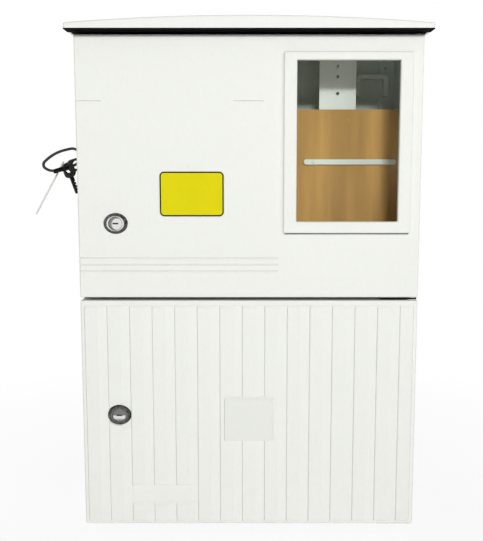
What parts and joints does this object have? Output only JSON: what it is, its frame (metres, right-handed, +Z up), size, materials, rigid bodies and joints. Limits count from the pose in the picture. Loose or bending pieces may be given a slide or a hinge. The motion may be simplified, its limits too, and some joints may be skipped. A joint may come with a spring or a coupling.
{
  "type": "electrical meter cabinet",
  "caption": "Moulded fibreglass electrical cabinet with a windowed upper door, a ribbed lower door, quarter-turn locks and a crowned rain canopy.",
  "frame": {"origin": "middle of the base panel's footprint, on the surface that it stands on", "axes": "+Z up, -Y out of the door fronts, +X towards the hinge side"},
  "size_m": [0.7044, 0.305, 0.9155],
  "materials": {
    "smc_white": "glossy moulded fibreglass, off-white",
    "black_rubber": "matt black",
    "black_nylon": "black moulded nylon",
    "white_nylon": "natural nylon",
    "clear_sheet": "clear flat sheet",
    "board_brown": "brown phenolic board",
    "white_paint": "white paint",
    "chrome": "plated",
    "brass": "plain",
    "zinc_steel": "zinc plated"
  },
  "bodies": {
    "case": {"back_panel": "smc_white", "back_panel_screws": "zinc_steel", "base_panel": "smc_white", "board_screws": "zinc_steel", "board_standoffs": "zinc_steel", "bottom_pivot_bracket": "zinc_steel", "bracket_screws": "zinc_steel", "cable_grommets": "black_rubber", "cable_saddle": "white_paint", "canopy": "smc_white", "canopy_bolts": "zinc_steel", "canopy_closure_strip": "black_rubber", "cross_rail": "white_paint", "din_rail": "zinc_steel", "din_rail_screws": "zinc_steel", "earth_bar": "brass", "earth_bar_feet": "black_nylon", "earth_bar_screws": "zinc_steel", "gear_plate": "zinc_steel", "gear_plate_screws": "zinc_steel", "gear_standoffs": "zinc_steel", "hanger_plate": "white_paint", "hanger_screws": "zinc_steel", "key_blades": "zinc_steel", "key_bows": "black_nylon", "key_tie": "black_nylon", "left_side_panel": "smc_white", "left_vent_grille": "smc_white", "meter_board": "board_brown", "middle_pivot_bracket": "zinc_steel", "partition_panel": "smc_white", "pivot_pins": "zinc_steel", "rail_screws": "zinc_steel", "right_side_panel": "smc_white", "right_vent_grille": "smc_white", "top_panel": "smc_white", "top_pivot_bracket": "zinc_steel"},
    "upper_door_body": {"upper_door": "smc_white", "upper_door_bushes": "white_nylon", "upper_door_gasket": "black_rubber", "upper_lock_body": "chrome", "upper_lock_nut": "zinc_steel", "window_clips": "zinc_steel", "window_frame": "smc_white", "window_gasket": "black_rubber", "window_pane": "clear_sheet"},
    "lower_door_body": {"lower_door": "smc_white", "lower_door_bushes": "white_nylon", "lower_door_gasket": "black_rubber", "lower_lock_body": "chrome", "lower_lock_nut": "zinc_steel"},
    "upper_lock": {"upper_lock_core": "chrome", "upper_lock_cam": "zinc_steel", "upper_cam_screw": "zinc_steel"},
    "lower_lock": {"lower_lock_core": "chrome", "lower_lock_cam": "zinc_steel", "lower_cam_screw": "zinc_steel"}
  },
  "joints": [
    {"name": "upper_door_swing", "type": "hinge", "parent": "case", "child": "upper_door_body", "pos_m": [0.291, -0.14, 0.6625], "axis": [0, 0, 1], "range_deg": [0, 110]},
    {"name": "lower_door_swing", "type": "hinge", "parent": "case", "child": "lower_door_body", "pos_m": [0.291, -0.14, 0.222], "axis": [0, 0, 1], "range_deg": [0, 110]},
    {"name": "upper_lock_turn", "type": "hinge", "parent": "upper_door_body", "child": "upper_lock", "pos_m": [-0.234, -0.152, 0.5666], "axis": [0, 1, 0], "range_deg": [0, 90]},
    {"name": "lower_lock_turn", "type": "hinge", "parent": "lower_door_body", "child": "lower_lock", "pos_m": [-0.234, -0.152, 0.2204], "axis": [0, 1, 0], "range_deg": [0, 90]}
  ]
}
